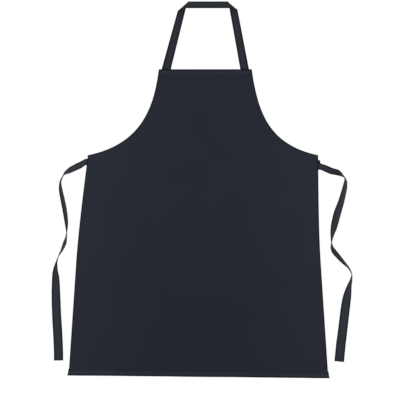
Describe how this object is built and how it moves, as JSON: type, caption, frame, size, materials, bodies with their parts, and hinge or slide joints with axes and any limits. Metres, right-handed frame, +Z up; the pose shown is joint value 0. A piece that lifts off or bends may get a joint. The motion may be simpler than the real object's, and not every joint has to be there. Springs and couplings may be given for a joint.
{
  "type": "bib apron",
  "caption": "Full-length cloth bib apron with a folded neck tape loop, curved armholes, turned hems and loose side ties.",
  "frame": {"origin": "middle of the neck tape's top run, where a hook or the wearer's neck holds the apron up", "axes": "+Z up along the hanging apron, +X to the right as seen from the front, +Y towards the wearer, so the front of the cloth faces -Y"},
  "size_m": [0.826, 0.037, 1.0352],
  "materials": {
    "cloth": "matt dark navy twill",
    "tape": "matt slate navy woven tape",
    "thread": "dark polyester sewing thread"
  },
  "bodies": {
    "neck": {"neck_strap": "tape"},
    "bib": {"bib_panel": "cloth", "bib_top_hem": "cloth", "bib_top_stitching": "thread", "armhole_hem_left": "cloth", "armhole_hem_right": "cloth", "armhole_stitching_left": "thread", "armhole_stitching_right": "thread", "neck_tape_end_left": "tape", "neck_tape_end_right": "tape", "neck_bartack_left": "thread", "neck_bartack_right": "thread"},
    "skirt": {"skirt_panel": "cloth", "side_hem_left": "cloth", "side_hem_right": "cloth", "side_stitching_left": "thread", "side_stitching_right": "thread", "bottom_hem": "cloth", "bottom_hem_stitching": "thread", "tie_sewn_end_left": "tape", "tie_sewn_end_right": "tape", "tie_bartack_left": "thread", "tie_bartack_right": "thread"},
    "tie_left": {"tie_left": "tape", "tie_left_end_hem": "tape", "tie_left_end_stitching": "thread"},
    "tie_right": {"tie_right": "tape", "tie_right_end_hem": "tape", "tie_right_end_stitching": "thread"}
  },
  "joints": [
    {"name": "neck_fold", "type": "hinge", "parent": "neck", "child": "bib", "pos_m": [0, 0.0017, -0.176], "axis": [1, 0, 0], "range_deg": [-20, 150]},
    {"name": "waist_fold", "type": "hinge", "parent": "bib", "child": "skirt", "pos_m": [0, -0.0013, -0.4163], "axis": [1, 0, 0], "range_deg": [-150, 20]},
    {"name": "tie_left_swing", "type": "hinge", "parent": "skirt", "child": "tie_left", "pos_m": [-0.3355, 0.0013, -0.4314], "axis": [0, 0, 1], "range_deg": [-120, 120]},
    {"name": "tie_right_swing", "type": "hinge", "parent": "skirt", "child": "tie_right", "pos_m": [0.3062, 0.0013, -0.4435], "axis": [0, 0, -1], "range_deg": [-120, 120]}
  ]
}
